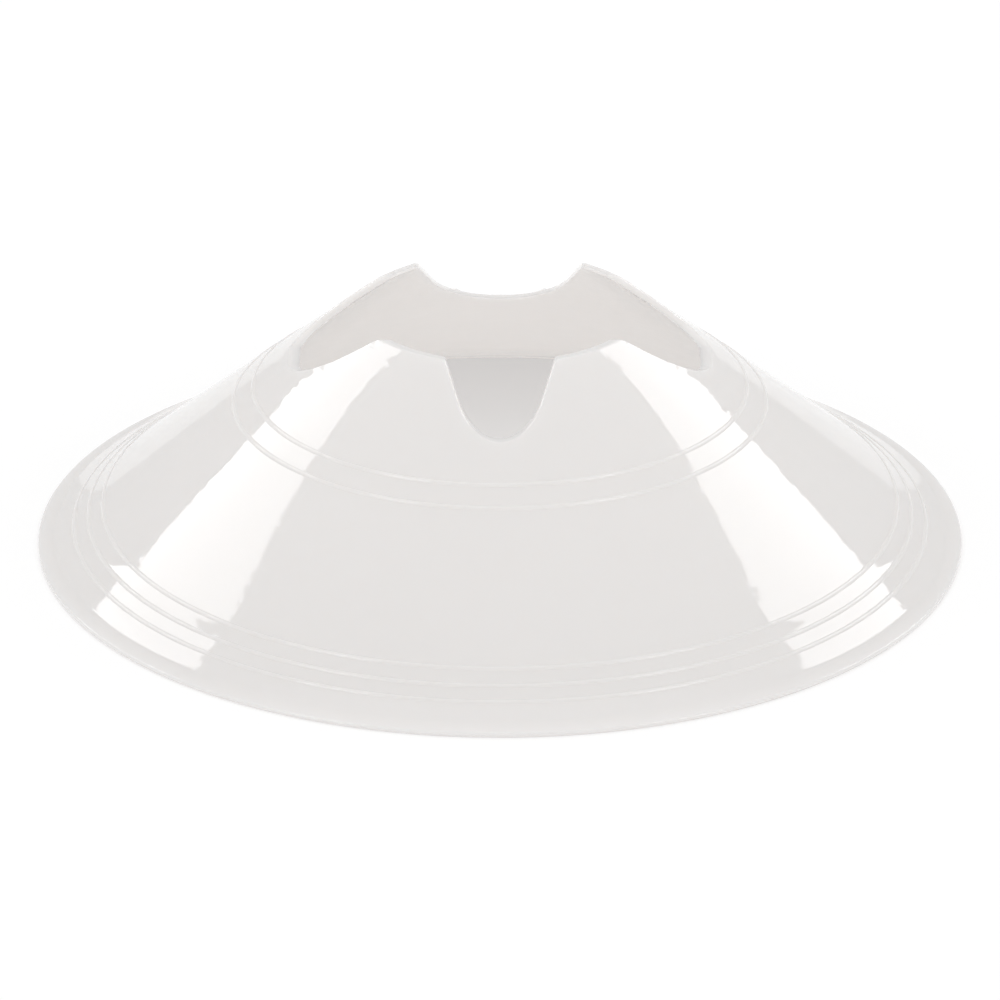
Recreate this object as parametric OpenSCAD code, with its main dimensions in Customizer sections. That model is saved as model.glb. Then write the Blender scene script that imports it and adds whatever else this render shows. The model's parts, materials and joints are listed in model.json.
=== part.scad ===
// Disc cone for marking out a sports field: one moulded shell, open underneath, with a hole and four pole
// notches in its rim. The origin is the centre of the base on the ground, +Z is up and -Y is the front.

/* [Overall] */
// Outer diameter of the base
base_d = 190; // [180:1:230]
// Height from the ground to the top of the rim
cone_h = 50.4; // [44:0.2:60]
// Outer diameter of the rim
rim_d = 58.8; // [54:0.2:64]
// Thickness of the wall, square to its slope
wall_t = 1.4; // [1:0.1:1.8]
// Width of the level land on top of the rim
rim_land_w = 1.6; // [1:0.1:2]

/* [Foot] */
// Width of the brim that rests on the ground
brim_w = 3; // [2:0.1:5]
// Height of the brim where it meets the wall
brim_h = 1.8; // [1.5:0.1:2.4]
// Height of the brim at its outer edge
brim_edge_h = 1.1; // [0.8:0.1:1.4]
// Radius that rounds the brim's outer edge
brim_edge_r = 0.5; // [0.2:0.05:0.6]
// Width of the band where the wall flares out to the brim
flare_w = 10.4; // [8:0.2:14]
// Height at which the wall starts to flare
flare_h = 8.5; // [7:0.1:10]

/* [Beads] */
// Width of each raised bead
bead_w = 1; // [0.6:0.1:1.6]
// Height of each bead above the wall
bead_h = 0.2; // [0.1:0.05:0.4]
// Number of beads in the upper group
upper_beads = 2; // [1:1:3]
// Distance out from the rim to the first upper bead
upper_bead_out = 21; // [16:0.5:24]
// Distance from one upper bead to the next
upper_bead_pitch = 4; // [3:0.1:6]
// Number of beads in the lower group
lower_beads = 3; // [1:1:4]
// Distance in from the base's edge to the first lower bead
lower_bead_in = 7.4; // [5.5:0.1:9]
// Distance from one lower bead to the next
lower_bead_pitch = 3; // [2:0.1:4]

/* [Front notch] */
// Width of the front notch at the rim
front_notch_w = 22; // [16:0.5:26]
// Depth of the front notch below the rim
front_notch_depth = 11; // [7:0.5:14]
// Length of the flat at the bottom of the front notch
front_notch_flat = 0; // [0:0.5:4]
// Radius of the front notch's bottom corners
front_notch_r = 9; // [4:0.5:11]

/* [Side notches] */
// Width of each side notch at the rim
side_notch_w = 32.6; // [26:0.2:36]
// Depth of each side notch below the rim
side_notch_depth = 11; // [7:0.5:14]
// Length of the flat at the bottom of each side notch
side_notch_flat = 9.2; // [0:0.2:14]
// Radius of the side notches' bottom corners
side_notch_r = 11.6; // [5:0.2:14]

/* [Back notch] */
// Width of the back notch at the rim
back_notch_w = 34; // [26:0.5:36]
// Depth of the back notch below the rim
back_notch_depth = 19.6; // [8:0.2:22]
// Length of the flat at the bottom of the back notch
back_notch_flat = 0; // [0:0.5:10]
// Radius of the back notch's bottom corners
back_notch_r = 14.9; // [6:0.1:17]

/* [Notch mouths] */
// Radius that rounds the rim's corners beside each notch
mouth_r = 1; // [0.2:0.1:2]

/* [Finish] */
// Colour of the plastic
plastic_colour = "#E5E1DE"; // [#E5E1DE:Off-white, #F26A1B:Orange, #F4DE3A:Yellow, #D0312D:Red, #2F6FD0:Blue]

/* [Hidden] */
$fn = 144;

// Longest straight piece of the flare's outline, and the straight pieces in each small arc
FLARE_STEP = 0.8;
ARC_STEPS = 10;
// How far a cutting shape runs past the face that it cuts
OVERCUT = 2;
RIGHT_ANGLE = 90;

base_r = base_d / 2;
rim_r = rim_d / 2;
hole_r = rim_r - rim_land_w;
flare_end_r = base_r - brim_w;
flare_start_r = flare_end_r - flare_w;
// Fall of the straight wall for each millimetre outwards
wall_fall = (cone_h - flare_h) / (flare_start_r - rim_r);
edge_r = min(brim_edge_r, brim_edge_h / 2);
brim_fall_angle = atan((brim_h - brim_edge_h) / brim_w);
// A bead is a slice of a circle: its width is the chord and its height the rise
bead_r = (bead_w * bead_w / 4 + bead_h * bead_h) / (2 * bead_h);

upper_bead_radii = [for (i = [0:upper_beads - 1]) rim_r + upper_bead_out + i * upper_bead_pitch];
lower_bead_radii = [for (i = [lower_beads - 1:-1:0]) base_r - lower_bead_in - i * lower_bead_pitch];

// Share of the flare that lies inside radius r, below 0 on the straight wall
function flare_share(r) = (r - flare_start_r) / flare_w;

// Height of the wall's outer face at radius r: straight, then a parabola that meets the brim
function outer_z(r) =
    let (s = flare_share(r))
    s <= 0
        ? flare_h - s * flare_w * wall_fall
        : flare_h * (1 - s * s) - s * (1 - s) * flare_w * wall_fall + brim_h * s * s;

// Angle below level of the outer face at radius r
function fall_angle(r) =
    let (s = max(flare_share(r), 0))
    atan(2 * s * (flare_h - brim_h) / flare_w + (1 - 2 * s) * wall_fall);

// The point at depth d below the outer face, square to it
function below_face(r, d) =
    let (a = fall_angle(r))
    [r - d * sin(a), outer_z(r) - d * cos(a)];

function arc_points(centre, r, from, to) =
    [for (i = [0:ARC_STEPS]) let (a = from + (to - from) * i / ARC_STEPS) centre + r * [cos(a), sin(a)]];

// Radii from a to b at which the plain face has a point: none between on the straight wall, some on the flare
function face_radii(a, b) =
    let (
        curved_from = max(a, min(b, flare_start_r)),
        steps = ceil((b - curved_from) / FLARE_STEP)
    )
    concat(
        curved_from > a ? [a] : [],
        steps > 0 ? [for (i = [0:steps]) curved_from + (b - curved_from) * i / steps] : [b]
    );

// Points across the bead at radius r, without its two feet: an arc that rises from the face
function bead_points(r) =
    [
        for (i = [1:ARC_STEPS - 1])
            let (
                across = bead_w * (i / ARC_STEPS - 1 / 2),
                rise = sqrt(bead_r * bead_r - across * across) - (bead_r - bead_h)
            )
            below_face(r + across * cos(fall_angle(r)), -rise)
    ];

// Radii of a bead's inner and outer foot
function bead_feet(r) =
    let (half = bead_w / 2 * cos(fall_angle(r)))
    [r - half, r + half];

// The plain face between beads, then each bead in turn, from above the rim out to the brim
bead_radii = concat(upper_bead_radii, lower_bead_radii);
face_starts = concat([rim_r - OVERCUT], [for (r = bead_radii) bead_feet(r)[1]]);
face_ends = concat([for (r = bead_radii) bead_feet(r)[0]], [flare_end_r]);
outer_points = [
    for (i = [0:len(bead_radii)])
        each concat(
            [for (r = face_radii(face_starts[i], face_ends[i])) below_face(r, 0)],
            i < len(bead_radii) ? bead_points(bead_radii[i]) : []
        )
];
brim_points = concat(
    arc_points([base_r - edge_r, brim_edge_h - edge_r], edge_r, RIGHT_ANGLE - brim_fall_angle, 0),
    arc_points([base_r - edge_r, edge_r], edge_r, 0, -RIGHT_ANGLE),
    [[flare_end_r, 0]]
);
inner_radii = face_radii(rim_r - OVERCUT, flare_end_r);
inner_points = [for (i = [len(inner_radii) - 1:-1:0]) below_face(inner_radii[i], wall_t)];

// The outline runs past the rim and the hole, and is cut level at the rim and upright at the hole
module wall_section() {
    intersection() {
        polygon(concat(outer_points, brim_points, inner_points));
        translate([hole_r, 0]) square([base_r - hole_r, cone_h]);
    }
}

// Right half of a notch's outline, from its flat up round the corner to the mouth at the rim
function notch_half(w, depth, flat, r) =
    let (
        corner_r = min(r, (w - flat) / 2),
        centre = [flat / 2, cone_h - depth + corner_r],
        mouth = [w / 2, cone_h],
        reach = norm(mouth - centre),
        // The flank leaves the corner where a line from the mouth just touches it
        touch_angle = atan2(mouth.y - centre.y, mouth.x - centre.x) - acos(corner_r / reach),
        flank = centre + corner_r * [cos(touch_angle), sin(touch_angle)] - mouth,
        flank_length = norm(flank),
        half_bend = (RIGHT_ANGLE - touch_angle) / 2,
        round_r = min(mouth_r, flank_length * tan(half_bend)),
        run = round_r / tan(half_bend),
        round_centre = [mouth.x + run, cone_h - round_r]
    )
    concat(
        arc_points(centre, corner_r, -RIGHT_ANGLE, touch_angle),
        arc_points(round_centre, round_r, 2 * RIGHT_ANGLE + touch_angle, RIGHT_ANGLE),
        [[mouth.x + run, cone_h + OVERCUT]]
    );

module notch(azimuth, w, depth, flat, r) {
    right = notch_half(w, depth, flat, r);
    left = [for (i = [len(right) - 1:-1:0]) [-right[i].x, right[i].y]];
    rotate([0, 0, azimuth])
        rotate([RIGHT_ANGLE, 0, 0])
            linear_extrude(height = base_r)
                polygon(concat(right, left));
}

module marker_cone() {
    color(plastic_colour)
        difference() {
            rotate_extrude() wall_section();
            notch(0, front_notch_w, front_notch_depth, front_notch_flat, front_notch_r);
            for (side = [-1, 1])
                notch(side * RIGHT_ANGLE, side_notch_w, side_notch_depth, side_notch_flat, side_notch_r);
            notch(2 * RIGHT_ANGLE, back_notch_w, back_notch_depth, back_notch_flat, back_notch_r);
        }
}

marker_cone();
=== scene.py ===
"""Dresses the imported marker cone: one smooth moulded shell in glossy off-white plastic, in a pale studio."""

import json
import math

import bmesh
import bpy
from bpy.props import FloatProperty, FloatVectorProperty, IntProperty, PointerProperty
from bpy.types import Operator, Panel, PropertyGroup
from mathutils import Matrix, Vector
from mathutils.kdtree import KDTree


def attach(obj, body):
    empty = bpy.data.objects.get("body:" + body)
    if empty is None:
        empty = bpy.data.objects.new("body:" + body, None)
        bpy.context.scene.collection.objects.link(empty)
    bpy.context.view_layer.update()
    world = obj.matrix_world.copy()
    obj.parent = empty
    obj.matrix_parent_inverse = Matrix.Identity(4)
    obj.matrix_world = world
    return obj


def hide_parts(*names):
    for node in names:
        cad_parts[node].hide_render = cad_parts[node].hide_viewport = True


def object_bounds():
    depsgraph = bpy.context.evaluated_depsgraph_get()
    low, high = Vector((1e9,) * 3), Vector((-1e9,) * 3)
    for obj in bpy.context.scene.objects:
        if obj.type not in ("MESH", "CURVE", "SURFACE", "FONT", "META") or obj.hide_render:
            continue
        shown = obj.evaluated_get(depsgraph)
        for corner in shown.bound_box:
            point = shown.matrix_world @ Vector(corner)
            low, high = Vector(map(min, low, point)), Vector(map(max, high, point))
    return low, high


bl_info = {
    "name": "Sports Marker Cone",
    "version": (1, 0, 0),
    "blender": (4, 5, 0),
    "location": "3D Viewport > Sidebar > Marker Cone",
    "description": "Builds a disc cone's moulded shell, its glossy plastic and the studio round it",
    "category": "Add Mesh",
}

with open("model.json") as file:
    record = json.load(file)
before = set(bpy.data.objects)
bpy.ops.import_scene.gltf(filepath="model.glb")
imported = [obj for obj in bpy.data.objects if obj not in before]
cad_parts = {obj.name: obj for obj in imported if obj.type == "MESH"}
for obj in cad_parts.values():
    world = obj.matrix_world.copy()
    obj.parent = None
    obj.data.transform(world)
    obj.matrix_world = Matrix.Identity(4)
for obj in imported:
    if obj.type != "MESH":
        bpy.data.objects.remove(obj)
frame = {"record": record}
cad_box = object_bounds()

MM = 0.001
CONE_NODE = "marker_cone"
PLASTIC_SLOT = "cone_plastic"


def mount_place(name):
    """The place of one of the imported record's mounts."""
    return next(Vector(m["pos_m"]) for m in frame["record"]["mounts"] if m["name"] == name)


CONE_HEIGHT = cad_box[1].z
BASE_DIAMETER = cad_box[1].x * 2
FRONT_DEPTH = CONE_HEIGHT - mount_place("pole_notch_front").z
SIDE_DEPTH = CONE_HEIGHT - mount_place("pole_notch_left").z
BACK_DEPTH = CONE_HEIGHT - mount_place("pole_notch_back").z


def length(name, description, default):
    """A size in metres, as a property in the sidebar."""
    return FloatProperty(
        name=name,
        description=description,
        default=default,
        unit="LENGTH",
        precision=4,
        min=0,
    )


class ShellSizes(PropertyGroup):
    """Sizes of the wall, its brim and its rim."""

    base_d: length("Base diameter", "Outer diameter of the base", BASE_DIAMETER)
    cone_h: length("Height", "Height from the ground to the top of the rim", CONE_HEIGHT)
    rim_d: length("Rim diameter", "Outer diameter of the rim", 58.8 * MM)
    wall_t: length("Wall", "Thickness of the wall, square to its slope", 1.4 * MM)
    rim_land_w: length("Rim land", "Width of the level land on top of the rim", 1.6 * MM)
    brim_w: length("Brim width", "Width of the brim that rests on the ground", 3 * MM)
    brim_h: length("Brim height", "Height of the brim where it meets the wall", 1.8 * MM)
    brim_edge_h: length("Brim edge", "Height of the brim at its outer edge", 1.1 * MM)
    brim_edge_r: length("Brim rounding", "Radius that rounds the brim's outer edge", 0.5 * MM)
    flare_w: length("Flare width", "Width of the band where the wall flares out to the brim", 10.4 * MM)
    flare_h: length("Flare height", "Height at which the wall starts to flare", 8.5 * MM)
    edge_round: length("Edge rounding", "Rounding of the outer edges of the rim and the notches", 0.34 * MM)
    inner_round: FloatProperty(
        name="Inner rounding",
        description="Rounding of the inner edges, as a share of the outer edges' rounding",
        default=0.55,
        min=0,
        max=1,
        subtype="FACTOR",
    )
    turn_steps: IntProperty(name="Turn steps", description="Steps in the full turn", default=240, min=48)


class BeadSizes(PropertyGroup):
    """Sizes of the raised ring beads and where they run."""

    width: length("Width", "Width of each bead", 1 * MM)
    height: length("Height", "Height of each bead above the wall", 0.2 * MM)
    upper_count: IntProperty(name="Upper beads", description="Beads in the upper group", default=2, min=1)
    upper_out: length("Upper place", "Distance out from the rim to the first upper bead", 21 * MM)
    upper_pitch: length("Upper pitch", "Distance from one upper bead to the next", 4 * MM)
    lower_count: IntProperty(name="Lower beads", description="Beads in the lower group", default=3, min=1)
    lower_in: length("Lower place", "Distance in from the base's edge to the first lower bead", 7.4 * MM)
    lower_pitch: length("Lower pitch", "Distance from one lower bead to the next", 3 * MM)


class NotchSizes(PropertyGroup):
    """Sizes of the pole notches in the rim."""

    front_w: length("Front width", "Width of the front notch at the rim", 22 * MM)
    front_depth: length("Front depth", "Depth of the front notch below the rim", FRONT_DEPTH)
    front_flat: length("Front flat", "Flat at the bottom of the front notch", 0)
    front_r: length("Front corner", "Radius of the front notch's bottom corners", 9 * MM)
    side_w: length("Side width", "Width of each side notch at the rim", 32.6 * MM)
    side_depth: length("Side depth", "Depth of each side notch below the rim", SIDE_DEPTH)
    side_flat: length("Side flat", "Flat at the bottom of each side notch", 9.2 * MM)
    side_r: length("Side corner", "Radius of the side notches' bottom corners", 11.6 * MM)
    back_w: length("Back width", "Width of the back notch at the rim", 34 * MM)
    back_depth: length("Back depth", "Depth of the back notch below the rim", BACK_DEPTH)
    back_flat: length("Back flat", "Flat at the bottom of the back notch", 0)
    back_r: length("Back corner", "Radius of the back notch's bottom corners", 14.9 * MM)
    mouth_r: length("Mouth rounding", "Radius that rounds the rim's corners beside each notch", 1 * MM)


class PlasticLook(PropertyGroup):
    """Colour and finish of the soft moulded plastic."""

    tone: FloatVectorProperty(
        name="Tone",
        description="Colour of the plastic",
        subtype="COLOR",
        size=3,
        min=0,
        max=1,
        default=(0.745, 0.7, 0.675),
    )
    clouding: FloatProperty(
        name="Clouding",
        description="How much the tone drifts over the surface",
        default=0.012,
        min=0,
        max=0.2,
        subtype="FACTOR",
    )
    gloss: FloatProperty(
        name="Roughness",
        description="Mean roughness of the skin",
        default=0.03,
        min=0,
        max=1,
    )
    depth: length("Light depth", "How far light wanders inside the plastic", 12 * MM)
    wave_h: length("Wave height", "Height of the small waves that moulding leaves in the wall", 0.03 * MM)
    grain_h: length("Grain height", "Height of the fine grain of the mould", 0.0004 * MM)


class StudioLook(PropertyGroup):
    """The camera, the light panels and the surround."""

    camera_dist: length("Camera distance", "Distance from the cone's base to the camera", 1337.5 * MM)
    camera_rise: FloatProperty(
        name="Camera rise",
        description="Angle of the camera above the floor, seen from the cone's base",
        default=math.radians(24.65),
        subtype="ANGLE",
    )
    camera_tilt: FloatProperty(
        name="Camera tilt",
        description="Angle at which the camera looks down",
        default=math.radians(24.36),
        subtype="ANGLE",
    )
    lens: FloatProperty(name="Lens", description="Focal length in millimetres", default=233.5)
    panel_power: FloatProperty(
        name="Light panels",
        description="Brightness of the light panels",
        default=4.3,
    )
    sky_power: FloatProperty(
        name="Surround",
        description="Brightness of the white surround",
        default=1,
    )


LOOK_GROUPS = {
    "cone_shell": ShellSizes,
    "cone_beads": BeadSizes,
    "cone_notches": NotchSizes,
    "cone_plastic": PlasticLook,
    "cone_studio": StudioLook,
}

# Widest rows of faces on the straight wall and on the flare
WALL_STEP = 2 * MM
FLARE_STEP = 0.8 * MM
# Share of a row that counts as none
ROW_SLACK = 1e-6
# Steps in a small arc, round a notch's bottom corner and round its mouth
ARC_STEPS = 10
BOTTOM_STEPS = 14
MOUTH_STEPS = 8
# Where a notch's cutter starts, as a share of the hole's radius, and how far it reaches above the rim
CUTTER_START = 0.65
OVERCUT = 4 * MM
# Kinds of face, kept as material slots until the edges are rounded
PLAIN_FACES, RIM_FACES, CUT_FACES = 0, 1, 2
# Points closer than this are joined
MERGE = 0.01 * MM
# Bends from which an edge beside the rim or a notch is rounded, and any other edge stays crisp
ROUND_FROM = math.radians(25)
CREASE = math.radians(12)
# Steps and shape of the rounding, where 0.5 is a circle's arc
ROUND_SEGMENTS = 4
ROUND_PROFILE = 0.5
# Room that is cleared beside a notch's edge, in roundings
ROOM = 1.5
# Faces with this many corners or more are split into triangles
SPLIT_FROM = 5


class WallShape:
    """The wall's cross-section, as radius and height, worked out from the sizes."""

    def __init__(self, shell, beads):
        self.shell = shell
        self.beads = beads
        self.base_r = shell.base_d / 2
        self.rim_r = shell.rim_d / 2
        self.hole_r = self.rim_r - shell.rim_land_w
        self.flare_end_r = self.base_r - shell.brim_w
        self.flare_start_r = self.flare_end_r - shell.flare_w
        self.wall_fall = (shell.cone_h - shell.flare_h) / (self.flare_start_r - self.rim_r)
        self.brim_fall = math.atan((shell.brim_h - shell.brim_edge_h) / shell.brim_w)

    def outer_z(self, r):
        """Height of the outer face at radius r: straight, then a parabola that meets the brim."""
        shell = self.shell
        s = (r - self.flare_start_r) / shell.flare_w
        if s <= 0:
            return shell.flare_h - s * shell.flare_w * self.wall_fall
        sag = s * (1 - s) * shell.flare_w * self.wall_fall
        return shell.flare_h * (1 - s * s) - sag + shell.brim_h * s * s

    def fall_angle(self, r):
        """Angle below level of the outer face at radius r."""
        shell = self.shell
        s = max((r - self.flare_start_r) / shell.flare_w, 0)
        flare_fall = (shell.flare_h - shell.brim_h) / shell.flare_w
        return math.atan(2 * s * flare_fall + (1 - 2 * s) * self.wall_fall)

    def below_face(self, r, depth):
        """The point at a depth below the outer face, square to it."""
        a = self.fall_angle(r)
        return Vector((r - depth * math.sin(a), self.outer_z(r) - depth * math.cos(a)))

    def bead_radii(self):
        beads = self.beads
        upper = [self.rim_r + beads.upper_out + i * beads.upper_pitch for i in range(beads.upper_count)]
        lower = [self.base_r - beads.lower_in - i * beads.lower_pitch for i in range(beads.lower_count)]
        return upper + lower[::-1]

    def bead_feet(self, r):
        half = self.beads.width / 2 * math.cos(self.fall_angle(r))
        return r - half, r + half

    def bead_points(self, r):
        """Points across a bead without its two feet: an arc that rises from the face."""
        width, height = self.beads.width, self.beads.height
        bead_r = (width * width / 4 + height * height) / (2 * height)
        points = []
        for i in range(1, ARC_STEPS):
            across = width * (i / ARC_STEPS - 0.5)
            rise = math.sqrt(bead_r * bead_r - across * across) - (bead_r - height)
            points.append(self.below_face(r + across * math.cos(self.fall_angle(r)), -rise))
        return points

    def plain_radii(self, a, b):
        """Radii from a to b at which the plain face has a row: wide rows on the wall, close on the flare."""
        bend = max(a, min(b, self.flare_start_r))
        return even_rows(a, bend, WALL_STEP)[:-1] + even_rows(bend, b, FLARE_STEP)

    def outer_points(self):
        """The outer face from the rim to the brim, with every bead."""
        radii = self.bead_radii()
        starts = [self.rim_r] + [self.bead_feet(r)[1] for r in radii]
        ends = [self.bead_feet(r)[0] for r in radii] + [self.flare_end_r]
        points = []
        for i, (a, b) in enumerate(zip(starts, ends)):
            points += [self.below_face(r, 0) for r in self.plain_radii(a, b)]
            if i < len(radii):
                points += self.bead_points(radii[i])
        return points

    def brim_points(self):
        """The brim's rounded outer edge and the outer side of its flat foot."""
        shell = self.shell
        r = min(shell.brim_edge_r, shell.brim_edge_h / 2)
        centre_r = self.base_r - r
        top = arc((centre_r, shell.brim_edge_h - r), r, math.pi / 2 - self.brim_fall, 0)
        foot = arc((centre_r, r), r, 0, -math.pi / 2)
        return top + foot + [Vector((self.flare_end_r, 0))]

    def inner_points(self):
        """The inner face from the brim up to the hole, one wall's thickness below the outer one."""
        shell = self.shell
        radii = self.plain_radii(self.rim_r, self.flare_end_r)[:0:-1]
        points = [self.below_face(r, shell.wall_t) for r in radii]
        hole_z = self.outer_z(self.hole_r) - shell.wall_t / math.cos(self.fall_angle(self.hole_r))
        return points + [Vector((self.hole_r, hole_z)), Vector((self.hole_r, shell.cone_h))]

    def outline(self):
        return self.outer_points() + self.brim_points() + self.inner_points()


def even_rows(a, b, step):
    """Evenly spaced radii from a to b, no further apart than a step."""
    count = math.ceil((b - a) / step - ROW_SLACK)
    return [a + (b - a) * i / count for i in range(count)] + [b] if count > 0 else [b]


def arc(centre, r, start, end, steps=ARC_STEPS):
    """Points along an arc from one angle to another."""
    turns = [start + (end - start) * i / steps for i in range(steps + 1)]
    return [Vector((centre[0] + r * math.cos(a), centre[1] + r * math.sin(a))) for a in turns]


def notch_half(cone_h, mouth_r, width, depth, flat, corner):
    """Right half of a notch's outline, from its flat up round the corner to the mouth at the rim."""
    r = min(corner, (width - flat) / 2)
    centre = Vector((flat / 2, cone_h - depth + r))
    mouth = Vector((width / 2, cone_h))
    reach = mouth - centre
    touch = math.atan2(reach.y, reach.x) - math.acos(r / reach.length)
    flank = centre + r * Vector((math.cos(touch), math.sin(touch))) - mouth
    half_bend = (math.pi / 2 - touch) / 2
    round_r = min(mouth_r, flank.length * math.tan(half_bend))
    run = round_r / math.tan(half_bend)
    bottom = arc(centre, r, -math.pi / 2, touch, BOTTOM_STEPS)
    mouth_centre = (mouth.x + run, cone_h - round_r)
    mouth_arc = arc(mouth_centre, round_r, math.pi + touch, math.pi / 2, MOUTH_STEPS)
    return bottom + mouth_arc + [Vector((mouth.x + run, cone_h + OVERCUT))]


def notch_cutter(azimuth, inner_y, outer_y, half):
    """A solid that cuts one notch straight out along its direction."""
    bm = bmesh.new()
    outline = half + [Vector((-p.x, p.y)) for p in reversed(half) if p.x > 0]
    face = bm.faces.new([bm.verts.new((p.x, -inner_y, p.y)) for p in outline])
    far = bmesh.ops.extrude_face_region(bm, geom=[face])["geom"]
    moved = [v for v in far if isinstance(v, bmesh.types.BMVert)]
    bmesh.ops.translate(bm, verts=moved, vec=(0, inner_y - outer_y, 0))
    bmesh.ops.rotate(bm, verts=bm.verts, matrix=Matrix.Rotation(azimuth, 3, "Z"))
    bmesh.ops.recalc_face_normals(bm, faces=bm.faces)
    for f in bm.faces:
        f.material_index = CUT_FACES
    return bm


def turned_shell(shape, steps):
    """The closed wall turned round the axis, with the rim's own faces marked."""
    bm = bmesh.new()
    points = shape.outline()
    verts = [bm.verts.new((0, -p.x, p.y)) for p in points]
    edges = [bm.edges.new((a, b)) for a, b in zip(verts, verts[1:] + verts[:1])]
    bmesh.ops.spin(
        bm,
        geom=verts + edges,
        cent=(0, 0, 0),
        axis=(0, 0, 1),
        angle=math.tau,
        steps=steps,
        use_merge=True,
    )
    bmesh.ops.remove_doubles(bm, verts=bm.verts, dist=MERGE)
    bmesh.ops.recalc_face_normals(bm, faces=bm.faces)
    top = shape.shell.cone_h - MERGE
    for f in bm.faces:
        on_land = all(v.co.z > top for v in f.verts)
        in_hole = all(v.co.xy.length < shape.hole_r + MERGE for v in f.verts)
        f.material_index = RIM_FACES if on_land or in_hole else PLAIN_FACES
    return bm


def mesh_object(name, bm):
    """A new object in the scene that holds a bmesh."""
    mesh = bpy.data.meshes.new(name)
    bm.to_mesh(mesh)
    bm.free()
    obj = bpy.data.objects.new(name, mesh)
    bpy.context.scene.collection.objects.link(obj)
    return obj


def settle(obj):
    """Replaces an object's mesh by what its modifiers make of it."""
    graph = bpy.context.evaluated_depsgraph_get()
    settled = bpy.data.meshes.new_from_object(obj.evaluated_get(graph))
    old = obj.data
    obj.modifiers.clear()
    obj.data = settled
    bpy.data.meshes.remove(old)


def add_kinds(obj):
    """One empty material slot for each kind of face, so that a cut keeps the kinds apart."""
    for _ in (PLAIN_FACES, RIM_FACES, CUT_FACES):
        obj.data.materials.append(None)


def cut_notches(obj, shape, notches):
    """Cuts the four pole notches with straight cutters that start beside the axis and run outwards."""
    inner_y = shape.hole_r * CUTTER_START
    side = (notches.side_w, notches.side_depth, notches.side_flat, notches.side_r)
    sizes = {
        0: (notches.front_w, notches.front_depth, notches.front_flat, notches.front_r),
        90: side,
        180: (notches.back_w, notches.back_depth, notches.back_flat, notches.back_r),
        270: side,
    }
    for azimuth, size in sizes.items():
        half = notch_half(shape.shell.cone_h, notches.mouth_r, *size)
        solid = notch_cutter(math.radians(azimuth), inner_y, shape.base_r, half)
        cutter = mesh_object("notch_cutter", solid)
        add_kinds(cutter)
        modifier = obj.modifiers.new("Notch", "BOOLEAN")
        modifier.operation = "DIFFERENCE"
        modifier.solver = "EXACT"
        modifier.object = cutter
        settle(obj)
        bpy.data.meshes.remove(cutter.data)


def kinds(edge):
    """The kinds of the faces beside an edge."""
    return {f.material_index for f in edge.link_faces}


def middle(edge):
    return (edge.verts[0].co + edge.verts[1].co) / 2


def sharp_edges(bm):
    """The edges round the rim, the hole and the notches."""
    return [e for e in bm.edges if kinds(e) - {PLAIN_FACES} and e.calc_face_angle() > ROUND_FROM]


def clear_cuts(bm, room):
    """Joins the small faces beside the notches' edges, so that nothing is in the way of their rounding."""
    bmesh.ops.remove_doubles(bm, verts=bm.verts, dist=MERGE)
    sharp = set(sharp_edges(bm))
    cut = [e for e in sharp if CUT_FACES in kinds(e)]
    places = [v.co for e in cut for v in e.verts] + [middle(e) for e in cut]
    tree = KDTree(len(places))
    for i, place in enumerate(places):
        tree.insert(place, i)
    tree.balance()
    near = {v for v in bm.verts if tree.find(v.co)[2] < room}
    crossing = [
        e
        for e in bm.edges
        if e not in sharp and not near.isdisjoint(e.verts) and CUT_FACES not in kinds(e)
    ]
    bmesh.ops.dissolve_edges(bm, edges=crossing, use_verts=True)


def round_edges(obj, shape):
    """Rounds the outer edges and, by less, the inner ones. The hole's own two edges stay crisp."""
    shell = shape.shell
    bm = bmesh.new()
    bm.from_mesh(obj.data)
    clear_cuts(bm, ROOM * shell.edge_round)
    weights = bm.edges.layers.float.new("bevel_weight_edge")
    for e in bm.edges:
        e.smooth = e.calc_face_angle() < CREASE
    for e in sharp_edges(bm):
        place = middle(e)
        depth = shape.outer_z(place.xy.length) - place.z
        if depth < shell.wall_t / 2 and PLAIN_FACES in kinds(e):
            e[weights] = 1
        elif kinds(e) == {PLAIN_FACES, CUT_FACES}:
            e[weights] = shell.inner_round
        e.smooth = e[weights] > 0
    for f in bm.faces:
        f.material_index = PLAIN_FACES
        f.smooth = True
    bm.to_mesh(obj.data)
    bm.free()
    rounding = obj.modifiers.new("Rounded Edges", "BEVEL")
    rounding.limit_method = "WEIGHT"
    rounding.offset_type = "OFFSET"
    rounding.width = shell.edge_round
    rounding.segments = ROUND_SEGMENTS
    rounding.profile = ROUND_PROFILE
    rounding.use_clamp_overlap = False
    rounding.loop_slide = False
    splitting = obj.modifiers.new("Split Large Faces", "TRIANGULATE")
    splitting.min_vertices = SPLIT_FROM
    splitting.ngon_method = "BEAUTY"
    splitting.keep_custom_normals = False
    evening = obj.modifiers.new("Even Normals", "WEIGHTED_NORMAL")
    evening.mode = "FACE_AREA"
    evening.keep_sharp = True


# Scale per metre and detail of each noise over the plastic
CLOUDS = (22, 3)
GLOSS_PATCHES = (90, 4)
WAVES = (150, 2)
GRAIN = (2600, 2)
# Roughness of a noise, and of the gloss patches' own
EVEN_NOISE = 0.5
PATCHY_NOISE = 0.6
# The part of the patches' range over which the roughness changes, and by what share of its mean
PATCH_RANGE = (0.3, 0.7)
GLOSS_SPREAD = 0.5
# Refraction of the plastic, and how far red, green and blue light wander in it, as shares of the light depth
PLASTIC_IOR = 1.5
LIGHT_WANDER = (1, 0.92, 0.86)


def put_material(obj, material):
    obj.data.materials.clear()
    obj.data.materials.append(material)


def set_inputs(node, values):
    """Sets a node's sockets by name."""
    for name, value in values.items():
        node.inputs[name].default_value = value


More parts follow.
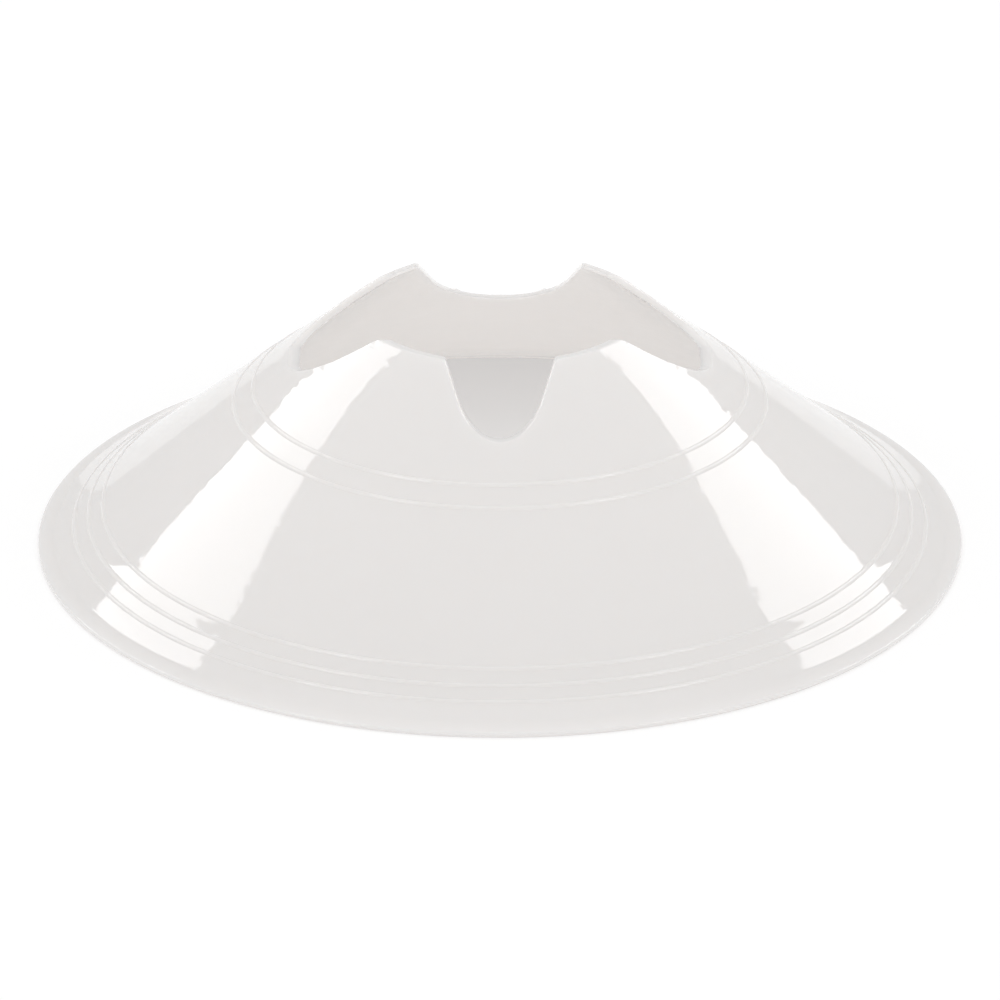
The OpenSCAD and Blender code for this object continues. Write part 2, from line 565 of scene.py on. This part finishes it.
def new_material(name, shader):
    """A material with one shader node, and that node."""
    material = bpy.data.materials.new(name)
    material.use_nodes = True
    nodes = material.node_tree.nodes
    nodes.clear()
    out = nodes.new("ShaderNodeOutputMaterial")
    skin = nodes.new(shader)
    material.node_tree.links.new(skin.outputs[0], out.inputs["Surface"])
    return material, skin


def map_range(nodes, links, value, low, high, start, end):
    """A soft step that takes low..high to start..end, fed by a socket."""
    node = nodes.new("ShaderNodeMapRange")
    node.interpolation_type = "SMOOTHSTEP"
    set_inputs(node, {"From Min": low, "From Max": high, "To Min": start, "To Max": end})
    links.new(value, node.inputs["Value"])
    return node.outputs["Result"]


def noise(nodes, links, place, scale, detail, roughness=EVEN_NOISE):
    """A noise texture over the object's own coordinates."""
    node = nodes.new("ShaderNodeTexNoise")
    set_inputs(node, {"Scale": scale, "Detail": detail, "Roughness": roughness})
    links.new(place, node.inputs["Vector"])
    return node.outputs["Fac"]


def bump(nodes, links, height, distance, under=None):
    """A bump of a height in metres, on top of another one where that is given."""
    node = nodes.new("ShaderNodeBump")
    node.inputs["Distance"].default_value = distance
    links.new(height, node.inputs["Height"])
    if under:
        links.new(under, node.inputs["Normal"])
    return node.outputs["Normal"]


def plastic_material(look):
    """Soft glossy plastic as it leaves the mould: faint clouds of colour, uneven gloss, and small waves."""
    material, skin = new_material(PLASTIC_SLOT, "ShaderNodeBsdfPrincipled")
    nodes, links = material.node_tree.nodes, material.node_tree.links
    place = nodes.new("ShaderNodeTexCoord").outputs["Object"]

    clouds = noise(nodes, links, place, *CLOUDS)
    colour = nodes.new("ShaderNodeMix")
    colour.data_type = "RGBA"
    for socket, change in (("A", -look.clouding), ("B", look.clouding)):
        colour.inputs[socket].default_value = (*(channel * (1 + change) for channel in look.tone), 1)
    links.new(clouds, colour.inputs["Factor"])
    links.new(colour.outputs["Result"], skin.inputs["Base Color"])

    patches = noise(nodes, links, place, *GLOSS_PATCHES, PATCHY_NOISE)
    smoothest, roughest = look.gloss * (1 - GLOSS_SPREAD), look.gloss * (1 + GLOSS_SPREAD)
    gloss = map_range(nodes, links, patches, *PATCH_RANGE, smoothest, roughest)
    links.new(gloss, skin.inputs["Roughness"])

    waves = bump(nodes, links, noise(nodes, links, place, *WAVES), look.wave_h)
    grain = bump(nodes, links, noise(nodes, links, place, *GRAIN), look.grain_h, waves)
    links.new(grain, skin.inputs["Normal"])

    set_inputs(
        skin,
        {
            "IOR": PLASTIC_IOR,
            "Subsurface Weight": 1,
            "Subsurface Radius": LIGHT_WANDER,
            "Subsurface Scale": look.depth,
        },
    )
    return material


class MESH_OT_marker_cone_shell(Operator):
    """Build the cone's moulded shell with its beads, brim and pole notches"""

    bl_idname = "mesh.marker_cone_shell"
    bl_label = "Moulded Shell"

    def execute(self, context):
        scene = context.scene
        shape = WallShape(scene.cone_shell, scene.cone_beads)
        shell = mesh_object("cone_shell", turned_shell(shape, scene.cone_shell.turn_steps))
        add_kinds(shell)
        cut_notches(shell, shape, scene.cone_notches)
        round_edges(shell, shape)
        put_material(shell, plastic_material(scene.cone_plastic))
        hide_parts(CONE_NODE)
        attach(shell, "root")
        return {"FINISHED"}


# Nearest and furthest place that the camera sees, in metres
CAMERA_CLIP = (0.01, 100)
# The round floor: its radius in metres and its sides, its tone and roughness, and how much it glows
FLOOR_R = 9
FLOOR_SIDES = 64
FLOOR_TONE = 0.62
FLOOR_ROUGHNESS = 0.9
FLOOR_GLOW = 0.38
# The soft light overhead: its azimuth and elevation, the cosines of its outer and inner edge, and its light
TOP_LIGHT = (180, 70)
TOP_LIGHT_EDGE = (0.9, 0.97)
TOP_LIGHT_POWER = 1.4
# The dim back wall: where it starts in a direction's y, where it ends in its z, and its light
BACK_WALL_SIDE = (0.3, 0.75)
BACK_WALL_TOP = (0.45, 0.7)
BACK_WALL_LIGHT = 0.75
# The back left panel's plane: its distance from the cone in metres, and the direction it is square to
PANEL_DIST = 8
PANEL_FACING = (-124, 36)
# Its outline as azimuth and elevation in degrees, as the cone's wall and flare mirror it
PANEL_OUTLINE = (
    (-103, 47.8),
    (-106.4, 47),
    (-108.1, 46.1),
    (-109.6, 45.6),
    (-111.5, 44.7),
    (-112.6, 44.3),
    (-114.6, 43.2),
    (-115.9, 42.9),
    (-115.4, 43.9),
    (-114.7, 45),
    (-111.5, 47.9),
    (-112.2, 48.6),
    (-113.9, 49.3),
    (-118.1, 50),
    (-123.6, 50.5),
    (-130.1, 51.3),
    (-138.5, 50.5),
    (-147.5, 33),
    (-142.2, 32.5),
    (-139, 30.8),
    (-136.7, 29.1),
    (-135, 26.8),
    (-138, 23.8),
    (-141, 21.1),
    (-140.4, 20.4),
    (-137.6, 22.6),
    (-135, 23.8),
    (-132.5, 24.8),
    (-126, 28.8),
)


def add_camera(studio):
    camera = bpy.data.cameras.new("camera")
    camera.lens = studio.lens
    camera.clip_start, camera.clip_end = CAMERA_CLIP
    obj = bpy.data.objects.new("camera", camera)
    bpy.context.scene.collection.objects.link(obj)
    rise, dist = studio.camera_rise, studio.camera_dist
    obj.location = (0, -dist * math.cos(rise), dist * math.sin(rise))
    obj.rotation_euler = (math.pi / 2 - studio.camera_tilt, 0, 0)
    bpy.context.scene.camera = obj


def direction(azimuth, elevation):
    """Unit vector towards an azimuth from the front and an elevation, both in degrees."""
    a, e = math.radians(azimuth), math.radians(elevation)
    return Vector((math.sin(a) * math.cos(e), -math.cos(a) * math.cos(e), math.sin(e)))


def add_light_panel(name, side, end, power):
    """A far softbox beside the cone: side is 1 for the left and -1 for the right, end 1 for the back."""
    facing = direction(*PANEL_FACING)
    bm = bmesh.new()
    corners = []
    for azimuth, elevation in PANEL_OUTLINE:
        towards = direction(azimuth, elevation)
        place = towards * (PANEL_DIST / towards.dot(facing))
        corners.append(bm.verts.new((place.x * side, place.y * end, place.z)))
    bm.faces.new(corners)
    bm.normal_update()
    bmesh.ops.triangulate(bm, faces=bm.faces)
    panel = mesh_object(name, bm)
    material, glow = new_material(name, "ShaderNodeEmission")
    glow.inputs["Strength"].default_value = power
    put_material(panel, material)
    panel.visible_camera = False
    panel.visible_diffuse = False


def add_floor():
    bm = bmesh.new()
    bmesh.ops.create_circle(bm, cap_ends=True, radius=FLOOR_R, segments=FLOOR_SIDES)
    floor = mesh_object("studio_floor", bm)
    material, skin = new_material("pale_floor", "ShaderNodeBsdfPrincipled")
    set_inputs(
        skin,
        {
            "Base Color": (FLOOR_TONE, FLOOR_TONE, FLOOR_TONE, 1),
            "Roughness": FLOOR_ROUGHNESS,
            "Specular IOR Level": 0,
            "Emission Color": (1, 1, 1, 1),
            "Emission Strength": FLOOR_GLOW,
        },
    )
    put_material(floor, material)


def math_node(nodes, links, operation, a, b):
    """A Math node fed by two sockets."""
    node = nodes.new("ShaderNodeMath")
    node.operation = operation
    links.new(a, node.inputs[0])
    links.new(b, node.inputs[1])
    return node.outputs["Value"]


def add_surround(power):
    """A white room with a round light high at the back and a dim back wall. The camera sees it plain."""
    world = bpy.data.worlds.new("white_surround")
    world.use_nodes = True
    nodes, links = world.node_tree.nodes, world.node_tree.links
    nodes.clear()
    out = nodes.new("ShaderNodeOutputWorld")
    soft = nodes.new("ShaderNodeBackground")
    links.new(soft.outputs["Background"], out.inputs["Surface"])
    towards = nodes.new("ShaderNodeTexCoord").outputs["Generated"]
    apart = nodes.new("ShaderNodeSeparateXYZ")
    links.new(towards, apart.inputs["Vector"])
    facing = nodes.new("ShaderNodeVectorMath")
    facing.operation = "DOT_PRODUCT"
    facing.inputs[1].default_value = direction(*TOP_LIGHT)
    links.new(towards, facing.inputs[0])
    top = map_range(nodes, links, facing.outputs["Value"], *TOP_LIGHT_EDGE, 1, TOP_LIGHT_POWER)
    behind = map_range(nodes, links, apart.outputs["Y"], *BACK_WALL_SIDE, 0, 1)
    low = map_range(nodes, links, apart.outputs["Z"], *BACK_WALL_TOP, 1, 0)
    dimmed = math_node(nodes, links, "MULTIPLY", behind, low)
    dim = map_range(nodes, links, dimmed, 0, 1, 1, BACK_WALL_LIGHT)
    lit = math_node(nodes, links, "MULTIPLY", top, dim)
    seen = nodes.new("ShaderNodeLightPath").outputs["Is Camera Ray"]
    links.new(math_node(nodes, links, "MAXIMUM", lit, seen), soft.inputs["Color"])
    soft.inputs["Strength"].default_value = power
    bpy.context.scene.world = world


class SCENE_OT_marker_cone_studio(Operator):
    """Set up the pale floor, the white surround, the four light panels and the camera"""

    bl_idname = "scene.marker_cone_studio"
    bl_label = "Studio"

    def execute(self, context):
        studio = context.scene.cone_studio
        add_camera(studio)
        add_floor()
        add_surround(studio.sky_power)
        for end, end_name in ((1, "back"), (-1, "front")):
            for side, side_name in ((1, "left"), (-1, "right")):
                add_light_panel(f"panel_{end_name}_{side_name}", side, end, studio.panel_power)
        context.scene.view_settings.view_transform = "Standard"
        return {"FINISHED"}


class VIEW3D_PT_marker_cone(Panel):
    """The cone's steps and sizes in the sidebar"""

    bl_idname = "VIEW3D_PT_marker_cone"
    bl_label = "Marker Cone"
    bl_space_type = "VIEW_3D"
    bl_region_type = "UI"
    bl_category = "Marker Cone"

    def draw(self, context):
        column = self.layout.column()
        column.operator(MESH_OT_marker_cone_shell.bl_idname)
        column.operator(SCENE_OT_marker_cone_studio.bl_idname)
        for name, group in LOOK_GROUPS.items():
            box = self.layout.box()
            box.label(text=name.replace("_", " ").capitalize())
            for key in group.__annotations__:
                box.prop(getattr(context.scene, name), key)


CLASSES = (
    *LOOK_GROUPS.values(),
    MESH_OT_marker_cone_shell,
    SCENE_OT_marker_cone_studio,
    VIEW3D_PT_marker_cone,
)


def register():
    for cls in CLASSES:
        bpy.utils.register_class(cls)
    for name, group in LOOK_GROUPS.items():
        setattr(bpy.types.Scene, name, PointerProperty(type=group))


def unregister():
    for name in LOOK_GROUPS:
        delattr(bpy.types.Scene, name)
    for cls in reversed(CLASSES):
        bpy.utils.unregister_class(cls)


def main():
    register()
    bpy.ops.mesh.marker_cone_shell()
    bpy.ops.scene.marker_cone_studio()


if __name__ == "__main__":
    main()
